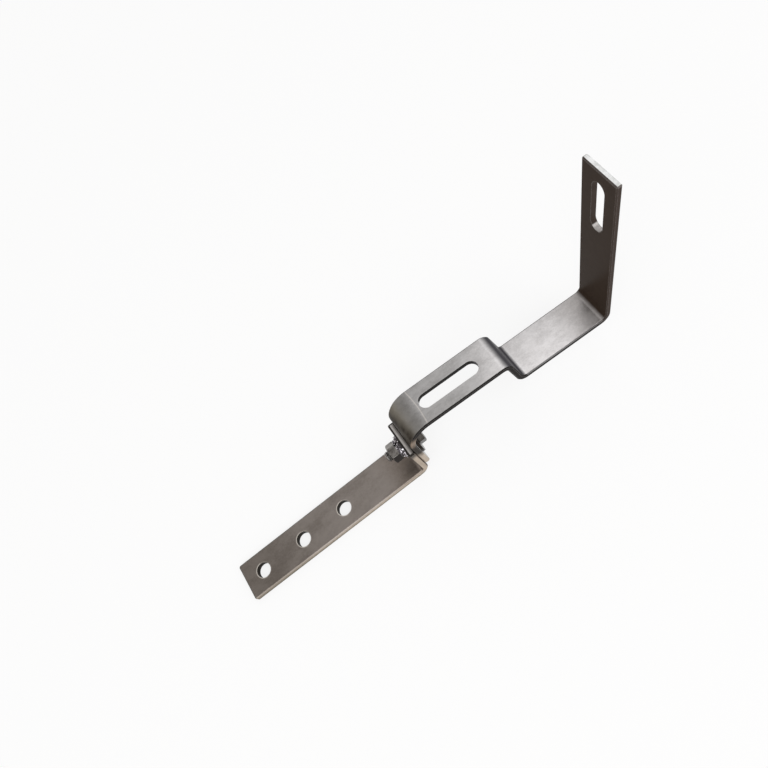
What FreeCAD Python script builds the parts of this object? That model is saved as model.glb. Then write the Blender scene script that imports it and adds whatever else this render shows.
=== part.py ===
import FreeCAD, Part
import math
import os
import Sketcher

os.makedirs("parts", exist_ok=True)

# Roof hook: a drilled base strap with an upturned end, and a bent hook arm bolted to it.
# X runs along the hook from the free end of the strap to the upright leg, Y across the bars, Z up.
# The origin is the middle screw hole, on the underside of the strap. All sizes in millimetres.

doc = FreeCAD.newDocument("RoofHook")
sheet = doc.addObject("Spreadsheet::Sheet", "Sizes")

rows = [
    # both bars
    ("bar_width", "30", "width of both bars"),
    ("edge_chamfer", "0.8", "broken edges of both bars"),
    ("screw_hole_diameter", "11.5", "holes for the rafter screws"),
    ("slot_width", "11", "width of both slots"),
    # base strap
    ("base_thickness", "5", "thickness of the base strap"),
    ("strap_length", "156", "free end to the face of the upturned end"),
    ("upturn_height", "36", "underside to the top of the upturned end"),
    ("base_bend_radius", "3", "inside radius of the base bend"),
    ("strap_corner_radius", "1.5", "corners of the free end, seen from above"),
    ("first_hole_distance", "16.3", "free end to the first screw hole"),
    ("hole_pitch", "38", "distance between screw holes"),
    # hook arm, distances from the face that touches the upturned end
    ("arm_thickness", "4", "thickness of the arm"),
    ("top_bend_radius", "14", "inside radius of the bend above the bolted end"),
    ("step_bend_radius", "4", "inside radius of both bends of the step"),
    ("leg_bend_radius", "4", "inside radius at the foot of the leg"),
    ("arm_lower_end", "12", "height of the lower end of the arm"),
    ("arm_top_height", "60.7", "top of the upper flat at the bolted face"),
    ("arm_top_far_height", "53.2", "top of the upper flat at the step"),
    ("step_top_reach", "85", "bolted face to the upper corner of the step"),
    ("step_foot_reach", "89.8", "bolted face to the foot of the step"),
    ("low_flat_height", "26.4", "top of the lower flat at the foot of the step"),
    ("low_flat_far_height", "20.4", "top of the lower flat at the leg"),
    ("leg_reach", "158.4", "bolted face to the foot of the inner face of the leg"),
    ("leg_opening", "3", "how far the leg is bent past square, degrees"),
    ("leg_length", "120.5", "top of the lower flat to the end of the leg"),
    ("arm_slot_start", "22.5", "bolted face to the near end of the arm slot"),
    ("arm_slot_length", "46.5", "overall length of the arm slot"),
    ("leg_slot_edge", "8", "end of the leg to the top of its slot"),
    ("leg_slot_length", "37.5", "overall length of the leg slot"),
    # clamp bolt and its washers
    ("bolt_height", "26.5", "underside of the strap to the bolt axis"),
    ("bolt_diameter", "8", "clamp bolt"),
    ("bolt_length", "25", "under the head to the tip"),
    ("bolt_hole_clearance", "1", "bolt hole in the bars, larger than the bolt by this"),
    ("tip_chamfer", "1", "chamfer of the bolt tip"),
    ("head_across_flats", "13", "bolt head and nut"),
    ("head_height", "5.3", "bolt head"),
    ("head_turn", "12", "turn of the bolt head, degrees"),
    ("nut_height", "6.5", "nut"),
    ("nut_turn", "20", "turn of the nut, degrees"),
    ("thread_clearance", "0.1", "nut bore, larger than the bolt by this"),
    ("head_washer_outer", "24", "wide washer under the bolt head"),
    ("nut_washer_outer", "18", "plain washer on the upturned end"),
    ("washer_thickness", "2", "both plain washers"),
    ("washer_clearance", "0.4", "washer bores, larger than the bolt by this"),
    ("spring_washer_outer", "14.8", "spring washer"),
    ("spring_washer_thickness", "2", "spring washer"),
    ("spring_washer_gap", "1.4", "gap of the split"),
    ("spring_washer_lean", "1.2", "sideways lean of the split through the washer"),
]
for number, (alias, value, meaning) in enumerate(rows, start=1):
    sheet.set("A%d" % number, meaning)
    sheet.set("B%d" % number, value)
    sheet.setAlias("B%d" % number, alias)
doc.recompute()
size = {alias: float(sheet.get(alias)) for alias, value, meaning in rows}


def new_body(label):
    body = doc.addObject("PartDesign::Body", label)
    body.Label = label
    return body


def new_sketch(body, name, role):
    sketch = body.newObject("Sketcher::SketchObject", name)
    plane = [item for item in body.Origin.OriginFeatures if item.Role == role][0]
    sketch.AttachmentSupport = [(plane, "")]
    sketch.MapMode = "FlatFace"
    return sketch


def shift_sketch(sketch, expression):
    # moves the sketch along the normal of its plane
    sketch.setExpression("AttachmentOffset.Base.z", expression)


def tilt_sketch(sketch, axis, expression):
    # turns the sketch about one of its own axes
    turned = FreeCAD.Rotation(axis, 1)
    sketch.AttachmentOffset = FreeCAD.Placement(FreeCAD.Vector(0, 0, 0), turned)
    sketch.setExpression("AttachmentOffset.Rotation.Angle", expression)


def origin_axis(body, role):
    return [item for item in body.Origin.OriginFeatures if item.Role == role][0]


def place_along(body, distance):
    # the distance is from the free end of the strap; the middle screw hole is the origin
    body.setExpression(
        "Placement.Base.x", distance + " - Sizes.first_hole_distance - Sizes.hole_pitch")


def bind(sketch, constraint, expression):
    index = sketch.addConstraint(constraint)
    sketch.setExpression("Constraints[%d]" % index, expression)


def fix_x(sketch, geometry, end, expression):
    value = sketch.getPoint(geometry, end).x
    bind(sketch, Sketcher.Constraint("DistanceX", -1, 1, geometry, end, value), expression)


def fix_y(sketch, geometry, end, expression):
    value = sketch.getPoint(geometry, end).y
    bind(sketch, Sketcher.Constraint("DistanceY", -1, 1, geometry, end, value), expression)


def add_polygon(sketch, points):
    # closed chain of lines: line n runs from point n to point n + 1
    count = len(points)
    for n in range(count):
        start = FreeCAD.Vector(points[n][0], points[n][1], 0)
        finish = FreeCAD.Vector(points[(n + 1) % count][0], points[(n + 1) % count][1], 0)
        sketch.addGeometry(Part.LineSegment(start, finish), False)
    for n in range(count):
        sketch.addConstraint(Sketcher.Constraint("Coincident", n, 2, (n + 1) % count, 1))


def add_circle(sketch, diameter, expression):
    # circle about the sketch origin
    axis = FreeCAD.Vector(0, 0, 1)
    index = sketch.addGeometry(Part.Circle(FreeCAD.Vector(0, 0, 0), axis, diameter / 2), False)
    sketch.addConstraint(Sketcher.Constraint("Coincident", index, 3, -1, 1))
    bind(sketch, Sketcher.Constraint("Diameter", index, diameter), expression)
    return index


def add_slot(sketch, centre_a, centre_b, width, along):
    # round-ended slot between two centres, along the sketch's x or y direction
    axis = FreeCAD.Vector(0, 0, 1)
    a = FreeCAD.Vector(centre_a[0], centre_a[1], 0)
    b = FreeCAD.Vector(centre_b[0], centre_b[1], 0)
    radius = width / 2
    turn = 0 if along == "x" else math.pi / 2
    side = FreeCAD.Vector(-math.sin(turn), math.cos(turn), 0) * radius
    arc_a = Part.ArcOfCircle(Part.Circle(a, axis, radius), turn + math.pi / 2, turn + math.pi * 1.5)
    arc_b = Part.ArcOfCircle(Part.Circle(b, axis, radius), turn - math.pi / 2, turn + math.pi / 2)
    sketch.addGeometry(arc_a, False)
    sketch.addGeometry(arc_b, False)
    sketch.addGeometry(Part.LineSegment(a - side, b - side), False)
    sketch.addGeometry(Part.LineSegment(b + side, a + side), False)
    sketch.addConstraint(Sketcher.Constraint("Tangent", 0, 2, 2, 1))
    sketch.addConstraint(Sketcher.Constraint("Tangent", 2, 2, 1, 1))
    sketch.addConstraint(Sketcher.Constraint("Tangent", 1, 2, 3, 1))
    sketch.addConstraint(Sketcher.Constraint("Tangent", 3, 2, 0, 1))
    sketch.addConstraint(Sketcher.Constraint("Horizontal" if along == "x" else "Vertical", 2))
    bind(sketch, Sketcher.Constraint("Radius", 0, radius), "Sizes.slot_width / 2")


def add_hexagon(sketch, across, expression):
    # regular hexagon about the origin with two flats at the top and bottom
    corner = across / math.sqrt(3)
    points = [(corner * math.cos(math.radians(60 * n)), corner * math.sin(math.radians(60 * n)))
              for n in range(6)]
    add_polygon(sketch, points)
    ring = sketch.addGeometry(
        Part.Circle(FreeCAD.Vector(0, 0, 0), FreeCAD.Vector(0, 0, 1), corner), True)
    sketch.addConstraint(Sketcher.Constraint("Coincident", ring, 3, -1, 1))
    for n in range(6):
        sketch.addConstraint(Sketcher.Constraint("PointOnObject", n, 1, ring))
    for n in range(5):
        sketch.addConstraint(Sketcher.Constraint("Equal", n, n + 1))
    sketch.addConstraint(Sketcher.Constraint("Horizontal", 1))
    bind(sketch, Sketcher.Constraint("Diameter", ring, 2 * corner), expression)


def add_pad(body, sketch, name, length, sides="One side", reverse=False):
    pad = body.newObject("PartDesign::Pad", name)
    pad.Profile = sketch
    pad.SideType = sides
    pad.Reversed = reverse
    pad.setExpression("Length", length)
    doc.recompute()
    return pad


def add_pocket(body, sketch, name, length=None, reverse=False):
    # without a length the pocket goes through everything on both sides of the sketch
    before = body.Shape.Volume
    pocket = body.newObject("PartDesign::Pocket", name)
    pocket.Profile = sketch
    if length is None:
        pocket.SideType = "Symmetric"
        pocket.Type = "ThroughAll"
    else:
        pocket.Type = "Length"
        pocket.Reversed = reverse
        pocket.setExpression("Length", length)
    doc.recompute()
    if body.Shape.Volume > before - 0.01:
        raise RuntimeError(name + " removes nothing")
    return pocket


def add_fillet(body, name, edges, radius):
    before = body.Tip
    fillet = body.newObject("PartDesign::Fillet", name)
    fillet.Base = (before, edges)
    fillet.setExpression("Radius", radius)
    doc.recompute()
    return fillet


def add_chamfer(body, name, edges, width):
    before = body.Tip
    chamfer = body.newObject("PartDesign::Chamfer", name)
    chamfer.Base = (before, edges)
    chamfer.setExpression("Size", width)
    doc.recompute()
    return chamfer


def bend_edges(feature, spots):
    # names of the straight edges across the bar that pass through the given x, z spots
    names = []
    for number, edge in enumerate(feature.Shape.Edges, start=1):
        first = edge.Vertexes[0].Point
        last = edge.Vertexes[-1].Point
        if abs(first.x - last.x) > 0.01 or abs(first.z - last.z) > 0.01:
            continue
        for x, z in spots:
            if abs(first.x - x) < 0.02 and abs(first.z - z) < 0.02:
                names.append("Edge%d" % number)
    if len(names) != len(spots):
        raise RuntimeError("bend edges not found")
    return names


def upright_edges(feature, x):
    # names of the vertical edges at the given x
    names = []
    for number, edge in enumerate(feature.Shape.Edges, start=1):
        first = edge.Vertexes[0].Point
        last = edge.Vertexes[-1].Point
        if abs(first.z - last.z) < 0.1 or abs(first.y - last.y) > 0.01:
            continue
        if abs(first.x - x) < 0.01 and abs(last.x - x) < 0.01:
            names.append("Edge%d" % number)
    return names


def sharp_edges(feature):
    # names of the edges where two faces meet at a clear angle
    shape = feature.Shape
    names = []
    for number, edge in enumerate(shape.Edges, start=1):
        faces = shape.ancestorsOfType(edge, Part.Face)
        if len(faces) != 2:
            continue
        middle = edge.valueAt((edge.FirstParameter + edge.LastParameter) / 2)
        normals = []
        for face in faces:
            u, v = face.Surface.parameter(middle)
            normals.append(face.normalAt(u, v))
        if normals[0].getAngle(normals[1]) > math.radians(25):
            names.append("Edge%d" % number)
    return names


# Base strap: side profile, bend, broken edges, three screw holes and the bolt hole

base = new_body("base_strap")
place_along(base, "0")
profile = new_sketch(base, "BaseProfile", "XZ_Plane")
length = size["strap_length"]
thick = size["base_thickness"]
height = size["upturn_height"]
add_polygon(profile, [(0, 0), (length + thick, 0), (length + thick, height),
                      (length, height), (length, thick), (0, thick)])
for line in (0, 2, 4):
    profile.addConstraint(Sketcher.Constraint("Horizontal", line))
for line in (1, 3, 5):
    profile.addConstraint(Sketcher.Constraint("Vertical", line))
profile.addConstraint(Sketcher.Constraint("Coincident", 0, 1, -1, 1))
fix_x(profile, 1, 1, "Sizes.strap_length + Sizes.base_thickness")
fix_y(profile, 2, 1, "Sizes.upturn_height")
fix_x(profile, 3, 1, "Sizes.strap_length")
fix_y(profile, 4, 1, "Sizes.base_thickness")
pad = add_pad(base, profile, "BaseBar", "Sizes.bar_width", "Symmetric")
inner = add_fillet(base, "BaseInnerBend", bend_edges(pad, [(length, thick)]),
                   "Sizes.base_bend_radius")
outer = add_fillet(base, "BaseOuterBend", bend_edges(inner, [(length + thick, 0)]),
                   "Sizes.base_bend_radius + Sizes.base_thickness")
corners = add_fillet(base, "StrapCorners", upright_edges(outer, 0), "Sizes.strap_corner_radius")
add_chamfer(base, "BaseEdges", sharp_edges(corners), "Sizes.edge_chamfer")

holes = new_sketch(base, "ScrewHoles", "XY_Plane")
hole_radius = size["screw_hole_diameter"] / 2
for n in range(3):
    place = FreeCAD.Vector(size["first_hole_distance"] + n * size["hole_pitch"], 0, 0)
    holes.addGeometry(Part.Circle(place, FreeCAD.Vector(0, 0, 1), hole_radius), False)
for n in range(3):
    holes.addConstraint(Sketcher.Constraint("PointOnObject", n, 3, -1))
    fix_x(holes, n, 3, "Sizes.first_hole_distance + %d * Sizes.hole_pitch" % n)
bind(holes, Sketcher.Constraint("Radius", 0, hole_radius), "Sizes.screw_hole_diameter / 2")
holes.addConstraint(Sketcher.Constraint("Equal", 0, 1))
holes.addConstraint(Sketcher.Constraint("Equal", 1, 2))
add_pocket(base, holes, "ScrewHoleCuts")

bolt_hole = size["bolt_diameter"] + size["bolt_hole_clearance"]
base_bolt = new_sketch(base, "BaseBoltHole", "YZ_Plane")
shift_sketch(base_bolt, "Sizes.strap_length + Sizes.base_thickness")
base_bolt.addGeometry(
    Part.Circle(FreeCAD.Vector(0, size["bolt_height"], 0), FreeCAD.Vector(0, 0, 1), bolt_hole / 2))
base_bolt.addConstraint(Sketcher.Constraint("PointOnObject", 0, 3, -2))
fix_y(base_bolt, 0, 3, "Sizes.bolt_height")
bind(base_bolt, Sketcher.Constraint("Diameter", 0, bolt_hole),
     "Sizes.bolt_diameter + Sizes.bolt_hole_clearance")
add_pocket(base, base_bolt, "BaseBoltCut", "Sizes.base_thickness")


# Hook arm: bolted end, top bend, sloping upper flat, step, lower flat and a leg that leans out.
# Its own x starts at the face that touches the upturned end of the strap.

arm = new_body("hook_arm")
place_along(arm, "Sizes.strap_length + Sizes.base_thickness")
t = size["arm_thickness"]
top_line = [(0, size["arm_lower_end"]), (0, size["arm_top_height"]),
            (size["step_top_reach"], size["arm_top_far_height"]),
            (size["step_foot_reach"], size["low_flat_height"]),
            (size["leg_reach"], size["low_flat_far_height"])]
along = FreeCAD.Vector(top_line[4][0] - top_line[3][0], top_line[4][1] - top_line[3][1], 0).normalize()
lean = math.atan2(-along.y, along.x) + math.radians(size["leg_opening"])
rise = FreeCAD.Vector(math.sin(lean), math.cos(lean), 0)
leg_x = top_line[4][0] + rise.x * size["leg_length"]
leg_z = top_line[4][1] + rise.y * size["leg_length"]
top_line.append((leg_x, leg_z))


def offset_corner(before, corner, after, distance):
    # where the lines on both sides of a corner meet when moved to the right by the distance
    a = FreeCAD.Vector(corner[0] - before[0], corner[1] - before[1], 0).normalize()
    b = FreeCAD.Vector(after[0] - corner[0], after[1] - corner[1], 0).normalize()
    normal_a = FreeCAD.Vector(a.y, -a.x, 0)
    normal_b = FreeCAD.Vector(b.y, -b.x, 0)
    middle = (normal_a + normal_b).normalize()
    reach = distance / middle.dot(normal_a)
    return (corner[0] + middle.x * reach, corner[1] + middle.y * reach)


under_line = [offset_corner(top_line[n - 1], top_line[n], top_line[n + 1], t)
              for n in range(1, 5)]
points = list(top_line)
points.append((leg_x + rise.y * t, leg_z - rise.x * t))
points.extend(reversed(under_line))
points.append((t, size["arm_lower_end"]))

lean_expression = ("atan((Sizes.low_flat_height - Sizes.low_flat_far_height)"
                   " / (Sizes.leg_reach - Sizes.step_foot_reach)) %s Sizes.leg_opening * 1 deg")
side = new_sketch(arm, "ArmProfile", "XZ_Plane")
add_polygon(side, points)
for line in (0, 10):
    side.addConstraint(Sketcher.Constraint("Vertical", line))
side.addConstraint(Sketcher.Constraint("Horizontal", 11))
bind(side, Sketcher.Constraint("Angle", 4, math.pi / 2 - lean), "90 deg - " + lean_expression % "-")
side.addConstraint(Sketcher.Constraint("Perpendicular", 4, 5))
side.addConstraint(Sketcher.Constraint("PointOnObject", 0, 1, -2))
fix_y(side, 0, 1, "Sizes.arm_lower_end")
fix_y(side, 1, 1, "Sizes.arm_top_height")
fix_x(side, 2, 1, "Sizes.step_top_reach")
fix_y(side, 2, 1, "Sizes.arm_top_far_height")
fix_x(side, 3, 1, "Sizes.step_foot_reach")
fix_y(side, 3, 1, "Sizes.low_flat_height")
fix_x(side, 4, 1, "Sizes.leg_reach")
fix_y(side, 4, 1, "Sizes.low_flat_far_height")
bind(side, Sketcher.Constraint("Distance", 4, size["leg_length"]), "Sizes.leg_length")
fix_x(side, 11, 1, "Sizes.arm_thickness")
for under, above in ((6, 4), (7, 3), (8, 2), (9, 1)):
    side.addConstraint(Sketcher.Constraint("Parallel", under, above))
    bind(side, Sketcher.Constraint("Distance", under, 2, above, t), "Sizes.arm_thickness")
arm_bar = add_pad(arm, side, "ArmBar", "Sizes.bar_width", "Symmetric")

top_inner = add_fillet(arm, "TopInnerBend", bend_edges(arm_bar, [under_line[0]]),
                       "Sizes.top_bend_radius")
top_outer = add_fillet(arm, "TopOuterBend", bend_edges(top_inner, [top_line[1]]),
                       "Sizes.top_bend_radius + Sizes.arm_thickness")
step_inner = add_fillet(arm, "StepInnerBends",
                        bend_edges(top_outer, [under_line[1], top_line[3]]),
                        "Sizes.step_bend_radius")
step_outer = add_fillet(arm, "StepOuterBends",
                        bend_edges(step_inner, [top_line[2], under_line[2]]),
                        "Sizes.step_bend_radius + Sizes.arm_thickness")
leg_inner = add_fillet(arm, "LegInnerBend", bend_edges(step_outer, [top_line[4]]),
                       "Sizes.leg_bend_radius")
leg_outer = add_fillet(arm, "LegOuterBend", bend_edges(leg_inner, [under_line[3]]),
                       "Sizes.leg_bend_radius + Sizes.arm_thickness")
add_chamfer(arm, "ArmEdges", sharp_edges(leg_outer), "Sizes.edge_chamfer")

# Both slots are cut square to their own flats, measured along them

half_slot = size["slot_width"] / 2
slot_from = size["arm_slot_start"] + half_slot
slot_to = size["arm_slot_start"] + size["arm_slot_length"] - half_slot
arm_slot = new_sketch(arm, "ArmSlot", "XY_Plane")
tilt_sketch(arm_slot, FreeCAD.Vector(0, 1, 0),
            "atan((Sizes.arm_top_height - Sizes.arm_top_far_height) / Sizes.step_top_reach)")
arm_slot.setExpression("AttachmentOffset.Base.z", "Sizes.arm_top_height")
add_slot(arm_slot, (slot_from, 0), (slot_to, 0), size["slot_width"], "x")
arm_slot.addConstraint(Sketcher.Constraint("PointOnObject", 0, 3, -1))
fix_x(arm_slot, 0, 3, "Sizes.arm_slot_start + Sizes.slot_width / 2")
fix_x(arm_slot, 1, 3, "Sizes.arm_slot_start + Sizes.arm_slot_length - Sizes.slot_width / 2")
add_pocket(arm, arm_slot, "ArmSlotCut", "Sizes.arm_thickness")

high = size["leg_length"] - size["leg_slot_edge"] - half_slot
low = size["leg_length"] - size["leg_slot_edge"] - size["leg_slot_length"] + half_slot
leg_slot = new_sketch(arm, "LegSlot", "YZ_Plane")
tilt_sketch(leg_slot, FreeCAD.Vector(1, 0, 0), lean_expression % "+")
leg_slot.setExpression("AttachmentOffset.Base.y", "Sizes.low_flat_far_height")
leg_slot.setExpression("AttachmentOffset.Base.z", "Sizes.leg_reach")
add_slot(leg_slot, (0, low), (0, high), size["slot_width"], "y")
leg_slot.addConstraint(Sketcher.Constraint("PointOnObject", 0, 3, -2))
fix_y(leg_slot, 1, 3, "Sizes.leg_length - Sizes.leg_slot_edge - Sizes.slot_width / 2")
fix_y(leg_slot, 0, 3, "Sizes.leg_length - Sizes.leg_slot_edge - Sizes.leg_slot_length"
      " + Sizes.slot_width / 2")
add_pocket(arm, leg_slot, "LegSlotCut", "Sizes.arm_thickness", True)

arm_bolt = new_sketch(arm, "ArmBoltHole", "YZ_Plane")
shift_sketch(arm_bolt, "Sizes.arm_thickness")
arm_bolt.addGeometry(
    Part.Circle(FreeCAD.Vector(0, size["bolt_height"], 0), FreeCAD.Vector(0, 0, 1), bolt_hole / 2))
arm_bolt.addConstraint(Sketcher.Constraint("PointOnObject", 0, 3, -2))
fix_y(arm_bolt, 0, 3, "Sizes.bolt_height")
bind(arm_bolt, Sketcher.Constraint("Diameter", 0, bolt_hole),
     "Sizes.bolt_diameter + Sizes.bolt_hole_clearance")
add_pocket(arm, arm_bolt, "ArmBoltCut", "Sizes.arm_thickness")


def place_on_bolt(body, distance, turn=0):
    # own x axis on the bolt axis, at the distance from the free end of the strap
    body.Placement = FreeCAD.Placement(
        FreeCAD.Vector(0, 0, 0), FreeCAD.Rotation(FreeCAD.Vector(1, 0, 0), turn))
    place_along(body, distance)
    body.setExpression("Placement.Base.z", "Sizes.bolt_height")


def add_corner_cut(body, name, at_end, height_expression):
    # cuts the six corners of a hexagonal head to a 30 degree cone at one end
    flat = size["head_across_flats"] / 2
    far = size["head_across_flats"] * 0.65
    depth = (far - flat * 0.97) * math.tan(math.radians(30))
    cone = new_sketch(body, name + "Profile", "XZ_Plane")
    start = size[height_expression] if at_end else 0
    sign = -1 if at_end else 1
    add_polygon(cone, [(start, flat * 0.97), (start, far), (start + sign * depth, far)])
    cone.addConstraint(Sketcher.Constraint("Vertical", 0))
    cone.addConstraint(Sketcher.Constraint("Horizontal", 1))
    if at_end:
        fix_x(cone, 0, 1, "Sizes." + height_expression)
    else:
        cone.addConstraint(Sketcher.Constraint("PointOnObject", 0, 1, -2))
    fix_y(cone, 0, 1, "Sizes.head_across_flats * 0.485")
    fix_y(cone, 1, 1, "Sizes.head_across_flats * 0.65")
    bind(cone, Sketcher.Constraint("DistanceX", 1, 1, 1, 2, sign * depth),
         "%d * Sizes.head_across_flats * 0.165 * tan(30)" % sign)
    groove = body.newObject("PartDesign::Groove", name)
    groove.Profile = cone
    groove.ReferenceAxis = (origin_axis(body, "X_Axis"), [""])
    groove.setExpression("Angle", "360")
    doc.recompute()
    return groove


# Plain washers, a wide one under the bolt head and one on the face of the upturned end

def make_washer(label, outer, distance):
    washer = new_body(label)
    ring = new_sketch(washer, label + "_ring", "YZ_Plane")
    add_circle(ring, size[outer], "Sizes." + outer)
    add_circle(ring, size["bolt_diameter"] + size["washer_clearance"],
               "Sizes.bolt_diameter + Sizes.washer_clearance")
    add_pad(washer, ring, label + "_disc", "Sizes.washer_thickness")
    place_on_bolt(washer, distance)
    return washer


head_washer = make_washer("head_washer", "head_washer_outer",
                          "Sizes.strap_length + Sizes.base_thickness + Sizes.arm_thickness")
nut_washer = make_washer("nut_washer", "nut_washer_outer",
                         "Sizes.strap_length - Sizes.washer_thickness")


# Spring washer: a ring with a leaning split at its top

spring = new_body("spring_washer")
spring_ring = new_sketch(spring, "SpringRing", "YZ_Plane")
add_circle(spring_ring, size["spring_washer_outer"], "Sizes.spring_washer_outer")
add_circle(spring_ring, size["bolt_diameter"] + size["washer_clearance"],
           "Sizes.bolt_diameter + Sizes.washer_clearance")
add_pad(spring, spring_ring, "SpringDisc", "Sizes.spring_washer_thickness")
gap = size["spring_washer_gap"]
lean = size["spring_washer_lean"]
deep = size["spring_washer_thickness"]
split = new_sketch(spring, "Split", "XY_Plane")
add_polygon(split, [(0, -gap / 2), (deep, lean - gap / 2), (deep, lean + gap / 2), (0, gap / 2)])
split.addConstraint(Sketcher.Constraint("Vertical", 1))
split.addConstraint(Sketcher.Constraint("Vertical", 3))
split.addConstraint(Sketcher.Constraint("Parallel", 0, 2))
split.addConstraint(Sketcher.Constraint("PointOnObject", 0, 1, -2))
fix_x(split, 1, 1, "Sizes.spring_washer_thickness")
fix_y(split, 0, 1, "-Sizes.spring_washer_gap / 2")
fix_y(split, 3, 1, "Sizes.spring_washer_gap / 2")
fix_y(split, 1, 1, "Sizes.spring_washer_lean - Sizes.spring_washer_gap / 2")
add_pocket(spring, split, "SplitCut", "Sizes.spring_washer_outer", True)
place_on_bolt(spring, "Sizes.strap_length - Sizes.washer_thickness"
              " - Sizes.spring_washer_thickness")


# Clamp bolt: shank towards the strap, hexagonal head outside the arm

bolt = new_body("clamp_bolt")
shank = new_sketch(bolt, "Shank", "YZ_Plane")
add_circle(shank, size["bolt_diameter"], "Sizes.bolt_diameter")
shank_pad = add_pad(bolt, shank, "ShankBar", "Sizes.bolt_length", reverse=True)
tip_edges = []
for number, edge in enumerate(shank_pad.Shape.Edges, start=1):
    if abs(edge.BoundBox.XMin + size["bolt_length"]) < 0.01 and edge.BoundBox.XLength < 0.01:
        tip_edges.append("Edge%d" % number)
add_chamfer(bolt, "Tip", tip_edges, "Sizes.tip_chamfer")
head = new_sketch(bolt, "Head", "YZ_Plane")
add_hexagon(head, size["head_across_flats"], "2 * Sizes.head_across_flats / sqrt(3)")
add_pad(bolt, head, "HeadBar", "Sizes.head_height")
add_corner_cut(bolt, "HeadCorners", True, "head_height")
place_on_bolt(bolt, "Sizes.strap_length + Sizes.base_thickness + Sizes.arm_thickness"
              " + Sizes.washer_thickness", size["head_turn"])


# Nut on the spring washer

nut = new_body("clamp_nut")
nut_hex = new_sketch(nut, "NutHexagon", "YZ_Plane")
add_hexagon(nut_hex, size["head_across_flats"], "2 * Sizes.head_across_flats / sqrt(3)")
add_pad(nut, nut_hex, "NutBar", "Sizes.nut_height")
nut_bore = new_sketch(nut, "NutBore", "YZ_Plane")
add_circle(nut_bore, size["bolt_diameter"] + size["thread_clearance"],
           "Sizes.bolt_diameter + Sizes.thread_clearance")
add_pocket(nut, nut_bore, "NutBoreCut", "Sizes.nut_height", True)
add_corner_cut(nut, "NutOuterCorners", False, "nut_height")
add_corner_cut(nut, "NutInnerCorners", True, "nut_height")
place_on_bolt(nut, "Sizes.strap_length - Sizes.washer_thickness"
              " - Sizes.spring_washer_thickness - Sizes.nut_height", size["nut_turn"])


# Checks, then one file for each piece

doc.recompute()
for item in doc.Objects:
    if "Invalid" in item.State or "Error" in item.State:
        raise RuntimeError(item.Name + " did not rebuild: " + ", ".join(item.State))

for body in (base, arm, bolt, head_washer, nut_washer, spring, nut):
    shape = body.Shape
    if shape.isNull() or not shape.isValid() or len(shape.Solids) != 1:
        raise RuntimeError(body.Label + " is not one valid solid")
    shape.exportStep("parts/" + body.Label + ".step")
    box = shape.BoundBox
    print("%-14s volume %9.1f  x %7.2f..%7.2f  y %6.2f..%6.2f  z %6.2f..%6.2f" % (
        body.Label, shape.Volume, box.XMin, box.XMax, box.YMin, box.YMax, box.ZMin, box.ZMax))
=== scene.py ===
import math
from functools import reduce

import bmesh
import bpy
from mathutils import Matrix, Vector


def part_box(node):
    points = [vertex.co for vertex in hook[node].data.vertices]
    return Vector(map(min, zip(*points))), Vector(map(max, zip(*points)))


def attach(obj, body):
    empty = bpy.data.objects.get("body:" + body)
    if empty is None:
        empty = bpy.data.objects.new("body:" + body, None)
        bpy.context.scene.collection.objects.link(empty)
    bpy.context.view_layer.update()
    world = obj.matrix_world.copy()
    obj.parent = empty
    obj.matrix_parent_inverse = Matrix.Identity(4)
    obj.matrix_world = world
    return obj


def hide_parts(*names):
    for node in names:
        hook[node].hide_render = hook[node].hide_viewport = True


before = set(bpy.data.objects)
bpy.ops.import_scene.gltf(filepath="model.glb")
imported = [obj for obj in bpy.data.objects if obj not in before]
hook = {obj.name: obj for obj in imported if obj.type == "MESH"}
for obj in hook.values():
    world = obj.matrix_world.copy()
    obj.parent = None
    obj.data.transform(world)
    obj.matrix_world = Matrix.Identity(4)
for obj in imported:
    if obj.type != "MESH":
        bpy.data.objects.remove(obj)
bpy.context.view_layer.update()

scene = bpy.context.scene
scene.view_settings.view_transform = "Standard"
print("frame loaded with", len(hook), "pieces of the hook")

mm = 0.001

# camera

viewpoint = {
    "place": (0.14279, -0.21257, 0.45064),
    "turn": (17.56, 17.433, -34.092),   # degrees about x, y and z
    "lens": 31.951,
    "sensor": 36,
    "shiftX": -0.0599,
    "shiftY": 0.099,
    "nearest": 0.01,                    # nothing closer than this is shown
}

cameraData = bpy.data.cameras.new("photoCamera")
cameraData.sensor_width = viewpoint["sensor"]
cameraData.lens = viewpoint["lens"]
cameraData.shift_x = viewpoint["shiftX"]
cameraData.shift_y = viewpoint["shiftY"]
cameraData.clip_start = viewpoint["nearest"]
camera = bpy.data.objects.new("photoCamera", cameraData)
camera.location = viewpoint["place"]
camera.rotation_euler = [math.radians(angle) for angle in viewpoint["turn"]]
scene.collection.objects.link(camera)
scene.camera = camera
print("camera set")


# small helpers for shader nodes

def feed(tree, socket, value):
    # a link where another node gives the value, else a plain number or colour
    if isinstance(value, bpy.types.NodeSocket):
        tree.links.new(value, socket)
    else:
        socket.default_value = value


def addNode(tree, kind, settings=None, **inputs):
    node = tree.nodes.new(kind)
    for name, value in (settings or {}).items():
        setattr(node, name, value)
    for name, value in inputs.items():
        feed(tree, node.inputs[name.replace("_", " ")], value)
    return node


def combine(tree, operation, *values):
    node = addNode(tree, "ShaderNodeMath", {"operation": operation})
    for slot, value in enumerate(values):
        feed(tree, node.inputs[slot], value)
    return node.outputs[0]


def times(tree, *masks):
    return reduce(lambda made, mask: combine(tree, "MULTIPLY", made, mask), masks)


def strongest(tree, *masks):
    return reduce(lambda made, mask: combine(tree, "MAXIMUM", made, mask), masks)


def likeness(tree, first, second):
    # 1 where two directions are the same
    node = addNode(tree, "ShaderNodeVectorMath", {"operation": "DOT_PRODUCT"})
    for slot, value in enumerate((first, second)):
        feed(tree, node.inputs[slot], value)
    return node.outputs["Value"]


def shifted(span, start):
    return [start + end for end in span]


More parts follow.
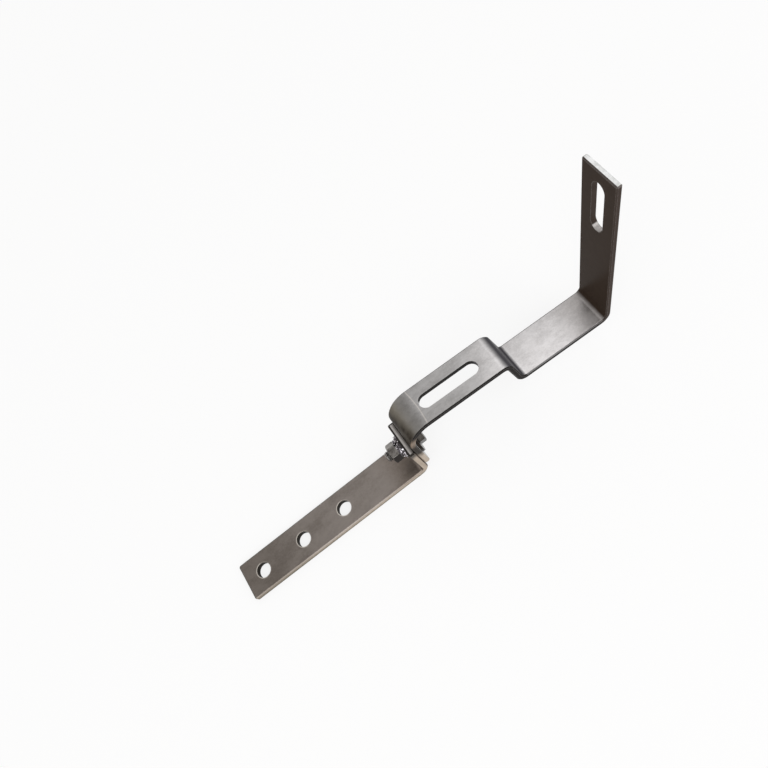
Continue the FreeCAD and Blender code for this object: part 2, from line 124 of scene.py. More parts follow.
def inMetres(span, start=0.0):
    # a span in mm from a start that is in mm too
    return [end * mm for end in shifted(span, start)]


def spread(tree, value, span, toLow=0.0, toHigh=1.0, smooth=True):
    # toLow where the value is at the span's first end, toHigh at its second
    interpolation = "SMOOTHSTEP" if smooth else "LINEAR"
    node = addNode(tree, "ShaderNodeMapRange", {"interpolation_type": interpolation},
                   Value=value, From_Min=span[0], From_Max=span[1],
                   To_Min=toLow, To_Max=toHigh)
    return node.outputs["Result"]


def blendColour(tree, factor, first, second, kind="MIX"):
    node = addNode(tree, "ShaderNodeMix", {"data_type": "RGBA", "blend_type": kind})
    for slot, value in ((0, factor), (6, first), (7, second)):
        feed(tree, node.inputs[slot], (*value, 1) if isinstance(value, tuple) else value)
    return node.outputs[2]


def shade(tree, factor, colour, tone):
    return blendColour(tree, factor, colour, tone, "MULTIPLY")


def stretchedNoise(tree, place, stretch, scale, detail=3.0, roughness=0.5):
    mapping = addNode(tree, "ShaderNodeMapping", Vector=place, Scale=stretch)
    noise = addNode(tree, "ShaderNodeTexNoise", Vector=mapping.outputs[0],
                    Scale=scale, Detail=detail, Roughness=roughness)
    return noise.outputs["Fac"]


def evenNoise(tree, place, scale, detail=3.0, roughness=0.5):
    return stretchedNoise(tree, place, (1, 1, 1), scale, detail, roughness)


# floor, light and surroundings

studio = {
    "floorSize": 12.0,
    "floorDrop": 0.05 * mm,             # gap between the floor and the strap
    "floorTone": (0.93, 0.93, 0.93),
    "floorGlow": 0.8,                   # share of the floor that shows plain white
    "roomWhite": (1.04, 1.04, 1.04),    # around the horizon and on the camera's side
    "whiteHeight": (0.5, 0.2),          # it sets in below the first and is full at the second
    "whiteSide": (0.2, -0.4),
    "roomDim": (0.30, 0.285, 0.27),     # overhead, above the strap
    "roomClear": (0.74, 0.725, 0.715),  # overhead, above the leg
    "clearRange": (-0.6, 0.6),          # between the two
    "glowTone": (0.50, 0.50, 0.51),     # a soft bright spot, added overhead
    "glowTowards": (0.42, 0.42, 0.80),
    "glowRange": (0.927, 0.9925),       # from its edge to its middle
    "aim": (0.1, 0, 0),                 # where the softboxes point
    "softboxes": {                      # place, side and power of each
        "leftSoftbox": ((-0.5, -1.0, 1.0), 0.8, 3.0),
        "rightSoftbox": ((0.9, -0.7, 1.0), 0.7, 2.5),
    },
}

floorMesh = bpy.data.meshes.new("studioFloor")
half = studio["floorSize"] / 2
floorMesh.from_pydata([(-half, -half, 0), (half, -half, 0), (half, half, 0), (-half, half, 0)],
                      [], [(0, 1, 2, 3)])
floor = bpy.data.objects.new("studioFloor", floorMesh)
floor.location.z = -studio["floorDrop"]
scene.collection.objects.link(floor)

floorPaint = bpy.data.materials.new("studioFloorPaint")
floorPaint.use_nodes = True
tree = floorPaint.node_tree
tree.nodes.clear()
rays = addNode(tree, "ShaderNodeLightPath").outputs
seen = strongest(tree, rays["Is Camera Ray"], rays["Is Glossy Ray"], rays["Is Transmission Ray"])
plain = addNode(tree, "ShaderNodeBsdfDiffuse", Color=(*studio["floorTone"], 1))
white = addNode(tree, "ShaderNodeEmission", Color=(1, 1, 1, 1), Strength=1.0)
floorMix = addNode(tree, "ShaderNodeMixShader", Fac=times(tree, seen, studio["floorGlow"]))
tree.links.new(plain.outputs[0], floorMix.inputs[1])
tree.links.new(white.outputs[0], floorMix.inputs[2])
addNode(tree, "ShaderNodeOutputMaterial", Surface=floorMix.outputs[0])
floorMesh.materials.append(floorPaint)

# white all round, dim overhead above the strap and clearer above the leg
room = bpy.data.worlds.new("studioRoom")
room.use_nodes = True
tree = room.node_tree
tree.nodes.clear()
direction = addNode(tree, "ShaderNodeTexCoord").outputs["Generated"]
roomX, roomY, roomZ = addNode(tree, "ShaderNodeSeparateXYZ", Vector=direction).outputs
ceiling = blendColour(tree, spread(tree, roomX, studio["clearRange"]),
                      studio["roomDim"], studio["roomClear"])
glow = likeness(tree, direction, Vector(studio["glowTowards"]).normalized())
ceiling = blendColour(tree, spread(tree, glow, studio["glowRange"]),
                      ceiling, studio["glowTone"], "ADD")
around = strongest(tree, spread(tree, roomZ, studio["whiteHeight"]),
                   spread(tree, roomY, studio["whiteSide"]))
tone = blendColour(tree, around, ceiling, studio["roomWhite"])
background = addNode(tree, "ShaderNodeBackground", Color=tone, Strength=1.0)
addNode(tree, "ShaderNodeOutputWorld", Surface=background.outputs[0])
scene.world = room

for name, (place, side, power) in studio["softboxes"].items():
    lampData = bpy.data.lights.new(name, "AREA")
    lampData.shape = "RECTANGLE"
    lampData.size = lampData.size_y = side
    lampData.energy = power
    lamp = bpy.data.objects.new(name, lampData)
    lamp.location = place
    towards = Vector(place) - Vector(studio["aim"])
    lamp.rotation_euler = towards.to_track_quat("Z", "Y").to_euler()
    scene.collection.objects.link(lamp)
print("floor, room and softboxes set")


# finishes

# A Tone is a colour, and a Tint is what the colour below it is multiplied by. Spans are in mm and
# run from where a tone begins to where it is full. Turns and Rises do that for how far a face
# looks sideways or up, where 1 is squarely, and Ranges for a noise or a share.

steel = {
    "cloudStretch": (0.6, 1, 1),
    "cloudGrain": (4.0, 0.6),       # detail and roughness of a noise
    "speckStretch": (0.7, 1, 1),
    "speckGrain": (3.0, 0.6),
    "rolledGrain": (2.0, 0.5),
    "mottleDark": 0.22,             # clouds and specks together: dark below this
    "mottleLight": 0.68,            # and light above this
    "patchStretch": (0.7, 1, 1),    # faint patches over everything
    "patchScale": 260.0,
    "patchGrain": (4.0, 0.65),
    "patchRange": (0.32, 0.68),
    "patchLift": 0.8,               # light patches, as a share of the dark ones' depth
    "cornerShadeRange": (0.75, 0.25),    # painted shade, from an open corner to a closed one
    "wornHighlightRange": (0.995, 0.88),     # wear and painted highlight, from an even face to a rounded arris
    "wornHighlightSpecks": (0.3, 0.6),       # specks take some of the wear and highlight away
    "wornHighlightLeast": 0.35,
    "roughRange": (0.25, 0.75),     # of the rolled grain
    "mottleRough": 0.05,            # light mottle is rougher by this
    "grainDepth": 0.03 * mm,
    "cloudDepth": 0.25 * mm,
    "samples": 6,                   # of the corner and arris nodes
}


def steelFinish(name, look, shape):
    # pickled steel: cloudy tone, fine rolled grain, worn arrises with painted highlight, and
    # painted shade in the corners
    finish = bpy.data.materials.new(name)
    finish.use_nodes = True
    tree = finish.node_tree
    tree.nodes.clear()
    coordinates = addNode(tree, "ShaderNodeTexCoord")
    place = coordinates.outputs["Object"]
    facing = addNode(tree, "ShaderNodeSeparateXYZ", Vector=coordinates.outputs["Normal"]).outputs

    clouds = stretchedNoise(tree, place, steel["cloudStretch"], look["cloudScale"],
                            *steel["cloudGrain"])
    specks = stretchedNoise(tree, place, steel["speckStretch"], look["speckScale"],
                            *steel["speckGrain"])
    grain = stretchedNoise(tree, place, look["grainStretch"], look["grainScale"],
                           *steel["rolledGrain"])
    mottle = combine(tree, "MULTIPLY_ADD", specks, look["speckShare"], clouds)
    middle = 0.5 * look["speckShare"]       # what evenly grey specks would add
    mottle = spread(tree, mottle, (steel["mottleDark"] + middle, steel["mottleLight"] + middle))
    colour = blendColour(tree, mottle, look["darkTone"], look["lightTone"])
    colour, shine = shape(tree, place, facing, colour)

    patches = stretchedNoise(tree, place, steel["patchStretch"], steel["patchScale"],
                             *steel["patchGrain"])
    depth = look["patchDepth"]
    patches = spread(tree, patches, steel["patchRange"], 1 - depth, 1 + steel["patchLift"] * depth)
    colour = shade(tree, 1.0, colour, patches)
    # painted shade: darker in corners and crevices, found by ambient occlusion
    corner = addNode(tree, "ShaderNodeAmbientOcclusion", {"samples": steel["samples"]},
                     Distance=look["cornerShadeReach"]).outputs["AO"]
    corner = times(tree, spread(tree, corner, steel["cornerShadeRange"]), look["cornerShadeShare"])
    colour = blendColour(tree, corner, colour, look["cornerShadeTone"])

    rounded = addNode(tree, "ShaderNodeBevel", {"samples": steel["samples"]},
                      Radius=look["arris"]).outputs[0]
    trueNormal = addNode(tree, "ShaderNodeNewGeometry").outputs["True Normal"]
    # worn arrises, lighter both as wear and as a painted highlight
    worn = times(tree, spread(tree, likeness(tree, rounded, trueNormal), steel["wornHighlightRange"]),
                 spread(tree, specks, steel["wornHighlightSpecks"], steel["wornHighlightLeast"]),
                 look["wornShare"])
    colour = blendColour(tree, worn, colour, look["wornTone"])

    rough = spread(tree, grain, steel["roughRange"], look["roughLow"], look["roughHigh"], False)
    rough = combine(tree, "MULTIPLY_ADD", mottle, steel["mottleRough"], rough)
    grainBump = addNode(tree, "ShaderNodeBump", Strength=look["grainBump"],
                        Distance=steel["grainDepth"], Height=grain, Normal=rounded)
    cloudBump = addNode(tree, "ShaderNodeBump", Strength=look["cloudBump"],
                        Distance=steel["cloudDepth"], Height=clouds,
                        Normal=grainBump.outputs[0])
    shader = addNode(tree, "ShaderNodeBsdfPrincipled", Base_Color=colour, Roughness=rough,
                     Normal=cloudBump.outputs[0], Metallic=shine,
                     Specular_IOR_Level=look["dullShine"])
    addNode(tree, "ShaderNodeOutputMaterial", Surface=shader.outputs[0])
    return finish


def dress(piece, finish):
    piece.data.materials.clear()
    piece.data.materials.append(finish)


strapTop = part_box("base_strap")[1].z / mm
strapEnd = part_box("base_strap")[1].x / mm

strapLook = {
    "darkTone": (0.30, 0.266, 0.242),
    "lightTone": (0.395, 0.356, 0.33),
    "cloudScale": 70.0,
    "patchDepth": 0.035,
    "speckScale": 900.0,
    "speckShare": 0.5,
    "grainScale": 2600.0,
    "grainStretch": (0.18, 1.0, 1.0),
    "roughLow": 0.32,
    "roughHigh": 0.44,
    "grainBump": 0.25,
    "cloudBump": 0.05,
    "arris": 0.5 * mm,
    "wornShare": 0.4,
    "wornTone": (0.55, 0.49, 0.42),
    "dullShine": 0.02,                      # gloss left where the steel is matt
    "cornerShadeReach": 6 * mm,
    "cornerShadeShare": 0.35,
    "cornerShadeTone": (0.05, 0.042, 0.036),
    # flat part
    "freeShadeTint": (0.78, 0.77, 0.75),         # painted shade: the free end is darker
    "freeSpan": (30, -50),
    "footShadeTint": (0.80, 0.76, 0.72),         # painted dark reflection of the upturned end on the strap next to it
    "footSpan": (-38, -12),                 # from the strap's end
    "flatSpan": (5.3, 5.1),                 # no higher than this
    "flatRise": (0.8, 0.95),
    # screw holes
    "holePitch": 38.0,
    "holeRadius": 5.75,
    "ringHighlightTone": (0.72, 0.68, 0.62),         # painted highlight on one side of them, on their chamfer
    "ringSpan": (0.9, 0.3),                 # from a hole's edge
    "ringShare": 0.85,
    "ringSideSpan": (1.5, -2),              # from a hole's middle towards the free end
    "ringLeast": 0.25,                      # what is left of the highlight on the other side
    "ringEndSpan": (46, 45),                # no highlight past the last hole
    "ringMatt": 0.5,
    "boreShadeTone": (0.03, 0.026, 0.022),       # their walls, in painted shade
    "boreSpan": (0.6, 0.3),
    "boreRise": (0.5, 0.2),
    "boreMatt": 0.95,
    # long sides
    "cutTone": (0.50, 0.42, 0.34),          # sawn, with a painted reflection of the bright ground beside it
    "cutTurn": (0.6, 0.95),
    "cutSpan": (12.5, 13.5),                # from the middle of the strap
    "sawTint": (0.86, 0.85, 0.84),          # saw marks
    "sawRange": (0.3, 0.7),
    "sawStretch": (1.0, 1.0, 0.15),
    "sawScale": 700.0,
    "cutFreeShadeTint": (0.56, 0.55, 0.50),      # painted shade: the sides are darker at the free end
    "cutFreeSpan": (70, -40),
    "cutLowShadeTint": (0.50, 0.49, 0.44),       # and painted shade along their lower half
    "cutLowSpan": (3.2, 1.6),
    "farArrisShadeTone": (0.045, 0.042, 0.036),       # painted shade on the far and end arrises
    "arrisTurn": (0.45, 0.65),
    "arrisRise": (0.3, 0.6),
    # upturned end, its spans measured from the strap's top or end
    "rimTone": (0.02, 0.018, 0.017),        # rim of its top
    "rimSpan": (-1.0, -0.7),
    "rimRise": (0.9, 0.75),
    "rimSideTurn": (0.5, 0.7),              # the rim runs down both sides, fainter
    "rimSideSpan": (-8, -2),
    "rimSideShare": 0.85,
    "endTone": (0.66, 0.64, 0.62),          # its flat top
    "endSpan": (-0.5, -0.2),
    "endShadeTone": (0.26, 0.245, 0.235),        # and painted shade on it next to the arm
    "endShadeSpan": (-1.2, -3.0),            # which ends here
    "coreSpan": (-3.8, -3.4),               # within these three, the top isn't rim
    "coreEndSpan": (-0.6, -1.0),
    "coreSideSpan": (13.9, 13.3),
    "cornerTone": (0.09, 0.066, 0.052),     # its upright arrises
    "cornerSpan": (-9, -6),
    "cornerTurnLow": (0.45, 0.6),           # they look sideways between these two
    "cornerTurnHigh": (0.8, 0.74),
    "cornerRise": (0.6, 0.3),
}


def strapShape(tree, place, facing, colour):
    look = strapLook
    x, y, z = addNode(tree, "ShaderNodeSeparateXYZ", Vector=place).outputs
    across = combine(tree, "ABSOLUTE", y)
    sideways = combine(tree, "ABSOLUTE", facing["Y"])
    level = combine(tree, "ABSOLUTE", facing["Z"])
    onFlat = spread(tree, z, inMetres(look["flatSpan"]))

    # painted shade towards the free end
    freeEnd = spread(tree, x, inMetres(look["freeSpan"]))
    colour = shade(tree, freeEnd, colour, look["freeShadeTint"])
    # painted dark reflection of the upturned end
    foot = spread(tree, x, inMetres(look["footSpan"], strapEnd))
    colour = shade(tree, foot, colour, look["footShadeTint"])

    # painted highlight on the top face round the screw holes, measured from the nearest one
    pitch = look["holePitch"] * mm
    offset = combine(tree, "WRAP", x, pitch / 2, -pitch / 2)
    reach = combine(tree, "ADD", combine(tree, "POWER", offset, 2.0),
                    combine(tree, "POWER", across, 2.0))
    reach = combine(tree, "DIVIDE", combine(tree, "SQRT", reach), mm)
    ring = times(tree, spread(tree, reach, shifted(look["ringSpan"], look["holeRadius"])),
                 spread(tree, level, look["flatRise"], 0.0, look["ringShare"]),
                 spread(tree, offset, inMetres(look["ringSideSpan"]), look["ringLeast"]),
                 spread(tree, x, inMetres(look["ringEndSpan"])))
    colour = blendColour(tree, ring, colour, look["ringHighlightTone"])

    # sawn long sides, with painted reflection and painted shade
    sawn = stretchedNoise(tree, place, look["sawStretch"], look["sawScale"], 2.0)
    sawn = spread(tree, sawn, look["sawRange"])
    sawn = blendColour(tree, sawn, look["sawTint"], (1.0, 1.0, 1.0))
    sawn = shade(tree, 1.0, sawn, look["cutTone"])
    sawn = shade(tree, spread(tree, x, inMetres(look["cutFreeSpan"])), sawn, look["cutFreeShadeTint"])
    sawn = shade(tree, spread(tree, z, inMetres(look["cutLowSpan"])), sawn, look["cutLowShadeTint"])
    # sawn tone with painted reflection and shade on the long sides
    cutSide = times(tree, spread(tree, sideways, look["cutTurn"]),
                    spread(tree, across, inMetres(look["cutSpan"])))
    colour = blendColour(tree, cutSide, colour, sawn)
    away = strongest(tree, combine(tree, "MULTIPLY", facing["X"], -1.0), facing["Y"])
    farEdge = times(tree, spread(tree, away, look["arrisTurn"]),
                    spread(tree, facing["Z"], look["arrisRise"]), onFlat)
    colour = blendColour(tree, farEdge, colour, look["farArrisShadeTone"])

    # upturned end: dark rim, pale flat top with painted shade next to the arm, brown upright edges
    rim = times(tree, spread(tree, z, inMetres(look["rimSpan"], strapTop)),
                spread(tree, level, look["rimRise"]))
    rimSide = times(tree, spread(tree, sideways, look["rimSideTurn"]),
                    spread(tree, z, inMetres(look["rimSideSpan"], strapTop),
                           0.0, look["rimSideShare"]))
    colour = blendColour(tree, strongest(tree, rim, rimSide), colour, look["rimTone"])
    end = times(tree, spread(tree, facing["Z"], look["flatRise"]),
                spread(tree, z, inMetres(look["endSpan"], strapTop)))
    core = times(tree, spread(tree, x, inMetres(look["coreSpan"], strapEnd)),
                 spread(tree, x, inMetres(look["coreEndSpan"], strapEnd)),
                 spread(tree, across, inMetres(look["coreSideSpan"])))
    endTone = spread(tree, x, inMetres(look["endShadeSpan"], strapEnd))
    endTone = blendColour(tree, endTone, look["endShadeTone"], look["endTone"])
    endTone = blendColour(tree, core, look["rimTone"], endTone)
    colour = blendColour(tree, end, colour, endTone)
    upright = times(tree, spread(tree, x, inMetres(look["cornerSpan"], strapEnd)),
                    spread(tree, sideways, look["cornerTurnHigh"]),
                    spread(tree, sideways, look["cornerTurnLow"]),
                    spread(tree, level, look["cornerRise"]))
    colour = blendColour(tree, upright, colour, look["cornerTone"])

    # painted shade on the screw holes' walls
    bore = times(tree, spread(tree, level, look["boreRise"]),
                 spread(tree, reach, shifted(look["boreSpan"], look["holeRadius"])), onFlat)
    colour = blendColour(tree, bore, colour, look["boreShadeTone"])
    matt = strongest(tree, times(tree, bore, look["boreMatt"]),
                     times(tree, ring, look["ringMatt"]))
    return colour, combine(tree, "SUBTRACT", 1.0, matt)


dress(hook["base_strap"], steelFinish("strapSteel", strapLook, strapShape))

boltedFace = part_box("hook_arm")[0].x
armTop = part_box("hook_arm")[1].z / mm
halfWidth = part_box("hook_arm")[1].y

armLook = {
    "darkTone": (0.575, 0.562, 0.56),
    "lightTone": (0.745, 0.732, 0.735),
    "cloudScale": 120.0,
    "patchDepth": 0.06,
    "speckScale": 1000.0,
    "speckShare": 0.6,
    "grainScale": 2600.0,
    "grainStretch": (0.25, 1.0, 1.0),
    "roughLow": 0.27,
    "roughHigh": 0.36,
    "grainBump": 0.25,
    "cloudBump": 0.05,
    "arris": 0.5 * mm,
    "wornShare": 0.25,
    "wornTone": (0.75, 0.73, 0.71),
    "dullShine": 0.02,
    "cornerShadeReach": 6 * mm,
    "cornerShadeShare": 0.4,
    "cornerShadeTone": (0.06, 0.05, 0.045),
    # flats, their spans measured along the arm from its bolted face
    "upperShadeTint": (0.665, 0.67, 0.665),      # painted shade: the upper flat is darker than the lower one
    "upperSpan": (93, 45),
    "farShade": 0.87,                       # painted shade on the far side of the lower flat, painted highlight on its near side
    "nearShade": 1.15,
    "footShadeTint": (0.62, 0.60, 0.585),        # the lower flat dulls towards the leg, with painted shade by the leg's inner bend
    "footSpan": (120, 160),
    "footMatt": 0.35,
    # top bend and bolted end
    "bendSpan": (40, 30),
    "bendShadeTone": (0.18, 0.163, 0.135),
    "bendTurn": (0.0, 0.7),
    "bendMatt": 0.75,
    "seamShadeTone": (0.026, 0.0195, 0.014),     # painted shade, dark brown, where it meets the strap
    "seamTurn": (0.44, 0.86),
    "seamSkew": 0.011,                      # how much wider it is on the near side, for each mm
    "shadeNoiseScale": 130.0,
    "shadeNoiseRange": (0.35, 0.6),
    "shadeNoiseLeast": 0.75,
    "bendLine": 19.6,                       # faint line where the top bend begins
    "lineBow": 1.2,                         # how far the line bows in the middle of the bar
    "lineSpan": (0.6, 0.1),
    "lineShare": 0.5,
    "lineTone": (0.82, 0.78, 0.73),
    # step, leg and its upper end
    "steepTone": (0.036, 0.0243, 0.0175),   # steep faces: painted dark brown reflection, and matt
    "stepReflectionTone": (0.056, 0.054, 0.060),      # painted dark reflection on those of the step
    "stepSpan": (105, 115),                 # which ends here
    "steepTurn": (0.12, 0.75),
    "capTone": (0.85, 0.86, 0.86),          # upper end of the leg, a painted highlight
    "capDull": (0.66, 0.67, 0.66),
    "capRange": (0.35, 0.62),
    "capGrain": (240.0, 4.0, 0.6),          # scale, detail and roughness of its mottle
    "capLean": 0.5,                         # takes in the outer arris too
    "capRise": (0.8, 0.95),
    "capSpan": (-3, -2),                    # from the top of the leg
    # long sides
    "cutTone": (0.02, 0.018, 0.017),        # painted dark reflection
    "cutTurn": (0.4, 0.65),
    "cutRise": (0.79, 0.64),                # the dark takes in part of the upper arris
    "cutHigher": (0.02, 0.12),              # and reaches higher: on the lower and the upper flat
    "cutHigherSpan": (95, 75),
    "legCutReflection": (0.05, 0.037, 0.031),         # the leg's edges and slot take the leg's painted dark brown reflection
    "legSpan": (150, 162),
    "boltedTone": (0.50, 0.42, 0.34),       # the bolted end is sawn, as the strap is, with a beige painted highlight
    "boltedSpan": (18, 12),                 # from the strap's top
    "boltedDull": (0.27, 0.205, 0.155),     # and duller where it begins to bend
    "boltedDullSpan": (0, 8),
    "gapLevel": 1,                          # and dark with painted shade around this level
    "gapSpan": (8.5, 18.0),
    "gapLeast": 0.04,
    "gapWander": 10,                        # how far the dirt's edge wanders
    "farArrisShadeTone": (0.13, 0.105, 0.085),        # painted shade on the far arris
    "arrisTurn": (0.45, 0.65),
    "arrisRise": (0.3, 0.6),
    "mattShine": 0.98,                      # metallic shine that the dull places lose
}


def armShape(tree, place, facing, colour):
    look = armLook
    x, y, z = addNode(tree, "ShaderNodeSeparateXYZ", Vector=place).outputs
    along = combine(tree, "DIVIDE", combine(tree, "SUBTRACT", x, boltedFace), mm)
    sideways = combine(tree, "ABSOLUTE", facing["Y"])
    stain = evenNoise(tree, place, look["shadeNoiseScale"])

    # painted shade: the upper flat is darker than the lower one; painted highlight: the lower one
    # is lighter on the near side
    upper = spread(tree, along, look["upperSpan"])
    colour = shade(tree, upper, colour, look["upperShadeTint"])
    nearer = spread(tree, y, (halfWidth, -halfWidth), look["farShade"], look["nearShade"], False)
    nearer = combine(tree, "MULTIPLY_ADD", combine(tree, "SUBTRACT", nearer, 1.0),
                     combine(tree, "SUBTRACT", 1.0, upper), 1.0)
    colour = shade(tree, 1.0, colour, nearer)
    # painted shade on the lower flat towards the leg
    foot = spread(tree, along, look["footSpan"])
    colour = shade(tree, foot, colour, look["footShadeTint"])

    # top bend, with painted shade that is darkest where it meets the strap
    onBend = spread(tree, along, look["bendSpan"])
    towardsStrap = combine(tree, "MULTIPLY", facing["X"], -1.0)
    # painted shade on the top bend's face turned towards the strap
    bend = times(tree, onBend, spread(tree, towardsStrap, look["bendTurn"]))
    colour = blendColour(tree, bend, colour, look["bendShadeTone"])
    # painted shade in the nook between the bend and the strap's upturned end
    seam = combine(tree, "MULTIPLY_ADD", y, -look["seamSkew"] / mm, towardsStrap)
    seam = times(tree, spread(tree, seam, look["seamTurn"]), bend)
    brown = times(tree, seam, spread(tree, stain, look["shadeNoiseRange"], look["shadeNoiseLeast"]))
    colour = blendColour(tree, brown, colour, look["seamShadeTone"])
    bow = combine(tree, "POWER", combine(tree, "DIVIDE", y, halfWidth), 2.0)
    bow = combine(tree, "MULTIPLY_ADD", bow, -look["lineBow"], look["bendLine"] + look["lineBow"])
    fromLine = combine(tree, "ABSOLUTE", combine(tree, "SUBTRACT", along, bow))
    line = spread(tree, fromLine, look["lineSpan"], 0.0, look["lineShare"])
    colour = blendColour(tree, line, colour, look["lineTone"])

    # steep faces of the step and the leg, in painted dark reflection, and the leg's upper end, a
    # painted highlight
    steep = times(tree, spread(tree, combine(tree, "ABSOLUTE", facing["X"]), look["steepTurn"]),
                  combine(tree, "SUBTRACT", 1.0, onBend))
    steepTone = blendColour(tree, spread(tree, along, look["stepSpan"]),
                            look["stepReflectionTone"], look["steepTone"])
    colour = blendColour(tree, steep, colour, steepTone)
    # painted highlight on the leg's upper end
    cap = combine(tree, "MULTIPLY_ADD", facing["X"], look["capLean"], facing["Z"])
    cap = times(tree, spread(tree, cap, look["capRise"]),
                spread(tree, z, inMetres(look["capSpan"], armTop)))
    capTone = spread(tree, evenNoise(tree, place, *look["capGrain"]), look["capRange"])
    capTone = blendColour(tree, capTone, look["capDull"], look["capTone"])
    colour = blendColour(tree, cap, colour, capTone)

    # long sides in painted dark reflection, beige at the bolted end
    farEdge = times(tree, spread(tree, facing["Y"], look["arrisTurn"]),
                    spread(tree, facing["Z"], look["arrisRise"]))
    colour = blendColour(tree, farEdge, colour, look["farArrisShadeTone"])
    # painted dark reflection on the long sides
    rise = combine(tree, "SUBTRACT", facing["Z"],
                   spread(tree, along, look["cutHigherSpan"], *look["cutHigher"]))
    cutSide = times(tree, spread(tree, sideways, look["cutTurn"]),
                    spread(tree, rise, look["cutRise"]))
    # painted shade in the gap just above the strap's top
    gap = combine(tree, "SUBTRACT", z, (strapTop + look["gapLevel"]) * mm)
    gap = combine(tree, "MULTIPLY_ADD", stain, look["gapWander"] * mm,
                  combine(tree, "ABSOLUTE", gap))
    low = times(tree, spread(tree, z, inMetres(look["boltedSpan"], strapTop)),
                spread(tree, gap, inMetres(look["gapSpan"]), look["gapLeast"]), onBend)
    boltedTone = spread(tree, z, inMetres(look["boltedDullSpan"], strapTop))
    boltedTone = blendColour(tree, boltedTone, look["boltedTone"], look["boltedDull"])
    cutTone = blendColour(tree, spread(tree, along, look["legSpan"]),
                          look["cutTone"], look["legCutReflection"])
    cutTone = blendColour(tree, low, cutTone, boltedTone)
    colour = blendColour(tree, cutSide, colour, cutTone)

    matt = strongest(tree, times(tree, cutSide, combine(tree, "SUBTRACT", 1.0, low)), steep,
                     times(tree, bend, look["bendMatt"]), seam,
                     times(tree, foot, look["footMatt"]))
    return colour, combine(tree, "MULTIPLY_ADD", matt, -look["mattShine"], 1.0)


dress(hook["hook_arm"], steelFinish("armSteel", armLook, armShape))

boltLook = {
    "darkTone": (0.06, 0.053, 0.048),
    "lightTone": (0.26, 0.245, 0.23),
    "underShadeTone": (0.026, 0.022, 0.02),  # painted shade on faces turned sideways or down
    "underRise": (0.6, 0.2),
    "underEndTurn": (0.8, 0.5),         # but less painted shade on the flat ends
    "underLeast": 0.2,
    "headTint": (0.32, 0.31, 0.3),      # the fasteners are darker on the arm's side
    "headSpan": (0, 4),                 # from the strap's end
    "cloudScale": 220.0,
    "patchDepth": 0.12,
    "speckScale": 1500.0,
    "speckShare": 0.4,
    "grainScale": 3000.0,
    "grainStretch": (1.0, 0.5, 0.5),
    "roughLow": 0.16,
    "roughHigh": 0.26,
    "grainBump": 0.2,
    "cloudBump": 0.05,
    "arris": 0.25 * mm,
    "wornShare": 0.5,
    "wornTone": (0.8, 0.78, 0.75),
    "dullShine": 0.02,
    "cornerShadeReach": 4 * mm,
    "cornerShadeShare": 0.85,
    "cornerShadeTone": (0.03, 0.025, 0.022),
}


def boltShape(tree, place, facing, colour):
    look = boltLook
    x = addNode(tree, "ShaderNodeSeparateXYZ", Vector=place).outputs[0]
    farSide = spread(tree, x, inMetres(look["headSpan"], strapEnd))
    colour = shade(tree, farSide, colour, look["headTint"])
    endwise = combine(tree, "ABSOLUTE", facing["X"])
    # painted shade under the fasteners
    under = times(tree, spread(tree, facing["Z"], look["underRise"]),
                  spread(tree, endwise, look["underEndTurn"], look["underLeast"]))
    return blendColour(tree, under, colour, look["underShadeTone"]), 1.0


boltSteel = steelFinish("boltSteel", boltLook, boltShape)
dress(hook["clamp_nut"], boltSteel)

# dark washers by the nut, with painted glints, and a dark one under the bolt's head
washerLook = dict(boltLook, darkTone=(0.015, 0.013, 0.014), lightTone=(0.11, 0.1, 0.107),
                  speckScale=700.0, speckShare=0.9, roughLow=0.12, roughHigh=0.2,
                  wornShare=0.45, wornTone=(1.0, 0.96, 1.0),
                  glintTone=(1.0, 0.95, 1.0), glintGrain=(650.0, 1.0, 0.4),
                  glintRange=(0.56, 0.61))
springLook = dict(boltLook, darkTone=(0.015, 0.013, 0.014), lightTone=(0.11, 0.1, 0.11),
                  speckScale=700.0, wornShare=0.8, wornTone=(1.0, 0.96, 1.0))
stainedLook = dict(boltLook, darkTone=(0.03, 0.024, 0.022), lightTone=(0.1, 0.083, 0.075),
                   wornShare=0.3)


def washerShape(tree, place, facing, colour):
    # painted glints: bright specks of painted highlight on the dark washers
    look = washerLook
    colour, shine = boltShape(tree, place, facing, colour)
    glint = spread(tree, evenNoise(tree, place, *look["glintGrain"]), look["glintRange"])
    return blendColour(tree, glint, colour, look["glintTone"]), shine


dress(hook["nut_washer"], steelFinish("washerSteel", washerLook, washerShape))
dress(hook["spring_washer"], steelFinish("springSteel", springLook, washerShape))
dress(hook["head_washer"], steelFinish("darkWasherSteel", stainedLook, boltShape))
print("finishes set")


# clamp bolt with a rolled thread, in mm and degrees

clampBolt = {
    "radius": 3.97,
    "rootRadius": 3.4,
    "pitch": 1.25,
    "rootFrom": 0.86,       # from a crest's middle (0) to a root's middle (1), the root's edge
    "flankShare": 0.72,     # and how much of the way the flank takes
    "tipChamfer": 1.0,
    "plainShank": 3.0,      # without a thread, under the head
    "threadFade": 1.5,
    "shankInHead": 0.05,
    "shankCorners": 48,
    "stepsPerTurn": 10,
    "acrossFlats": 13.0,
    "headTurn": 12.0,
    "headBevel": 30.0,
    "headCorners": 96,
    "crownShare": 0.95,     # bevel and seat, as shares of the head's inner radius
    "seatShare": 0.93,
    "seatHeight": 0.35,
    "sharpFrom": 28,
}
boltLow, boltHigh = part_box("clamp_bolt")
tipX = boltLow.x / mm
headX = boltHigh.x / mm
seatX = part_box("head_washer")[1].x / mm
axisZ = (boltLow.z + boltHigh.z) / 2 / mm


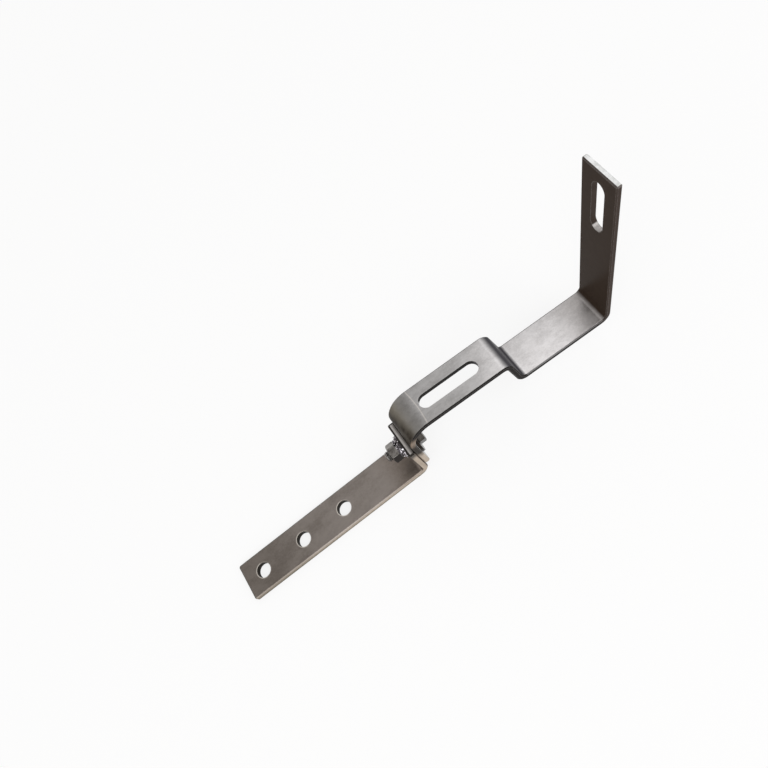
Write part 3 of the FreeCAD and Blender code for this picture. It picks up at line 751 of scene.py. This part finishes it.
def threadRadius(along, turn):
    # a rolled thread has flat crests, straight flanks and a flat root
    size = clampBolt
    toTip = along - tipX
    phase = (toTip / size["pitch"] + turn) % 1.0
    depth = abs(phase - 0.5) * 2.0
    ridge = min(max((size["rootFrom"] - depth) / size["flankShare"], 0.0), 1.0)
    radius = size["rootRadius"] + (size["radius"] - size["rootRadius"]) * ridge
    radius = min(radius, size["radius"] - size["tipChamfer"] + toTip)
    plain = (along - seatX + size["plainShank"]) / size["threadFade"]
    plain = min(max(plain, 0.0), 1.0)
    return radius * (1 - plain) + size["radius"] * plain


def addCorner(mesh, along, radius, angle):
    return mesh.verts.new((along * mm, radius * math.cos(angle) * mm,
                           (axisZ + radius * math.sin(angle)) * mm))


def joinRings(mesh, low, high):
    for spot in range(len(low)):
        other = (spot + 1) % len(low)
        mesh.faces.new((low[spot], high[spot], high[other], low[other]))


def makeBolt():
    size = clampBolt
    mesh = bmesh.new()
    length = seatX + size["shankInHead"] - tipX
    steps = int(length / size["pitch"] * size["stepsPerTurn"])
    rows = []
    for step in range(steps + 1):
        along = tipX + length * step / steps
        turns = [spot / size["shankCorners"] for spot in range(size["shankCorners"])]
        rows.append([addCorner(mesh, along, threadRadius(along, turn), turn * 2 * math.pi)
                     for turn in turns])
    for low, high in zip(rows, rows[1:]):
        joinRings(mesh, low, high)
    mesh.faces.new(rows[0])
    mesh.faces.new(list(reversed(rows[-1])))

    # hexagon head, its outer corners cut back by a cone
    inner = size["acrossFlats"] / 2
    crownReach = inner * size["crownShare"]
    seatReach = inner * size["seatShare"]
    slope = math.tan(math.radians(size["headBevel"]))

    def headRing(along, limit=math.inf):
        ring = []
        for spot in range(size["headCorners"]):
            angle = 2 * math.pi * spot / size["headCorners"]
            fromFlat = (angle + math.pi / 6) % (math.pi / 3) - math.pi / 6
            reach = min(inner / math.cos(fromFlat), limit)
            top = headX - max(reach - crownReach, 0.0) * slope if along is None else along
            ring.append(addCorner(mesh, top, reach, angle + math.radians(size["headTurn"])))
        return ring

    seatEdge = headRing(seatX + size["seatHeight"])
    cone = headRing(None)
    crown = headRing(headX, crownReach)
    seat = headRing(seatX, seatReach)
    seatStep = headRing(seatX + size["seatHeight"], seatReach)
    mesh.faces.new(seat)
    for low, high in ((seat, seatStep), (seatStep, seatEdge), (seatEdge, cone), (cone, crown)):
        joinRings(mesh, low, high)
    mesh.faces.new(list(reversed(crown)))
    bmesh.ops.recalc_face_normals(mesh, faces=mesh.faces)
    data = bpy.data.meshes.new("threadedBolt")
    mesh.to_mesh(data)
    mesh.free()
    data.shade_smooth()
    data.set_sharp_from_angle(angle=math.radians(size["sharpFrom"]))
    bolt = bpy.data.objects.new("threadedBolt", data)
    scene.collection.objects.link(bolt)
    return bolt


bolt = makeBolt()
dress(bolt, boltSteel)
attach(bolt, "root")
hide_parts("clamp_bolt")
print("clamp bolt made")

bpy.context.view_layer.update()
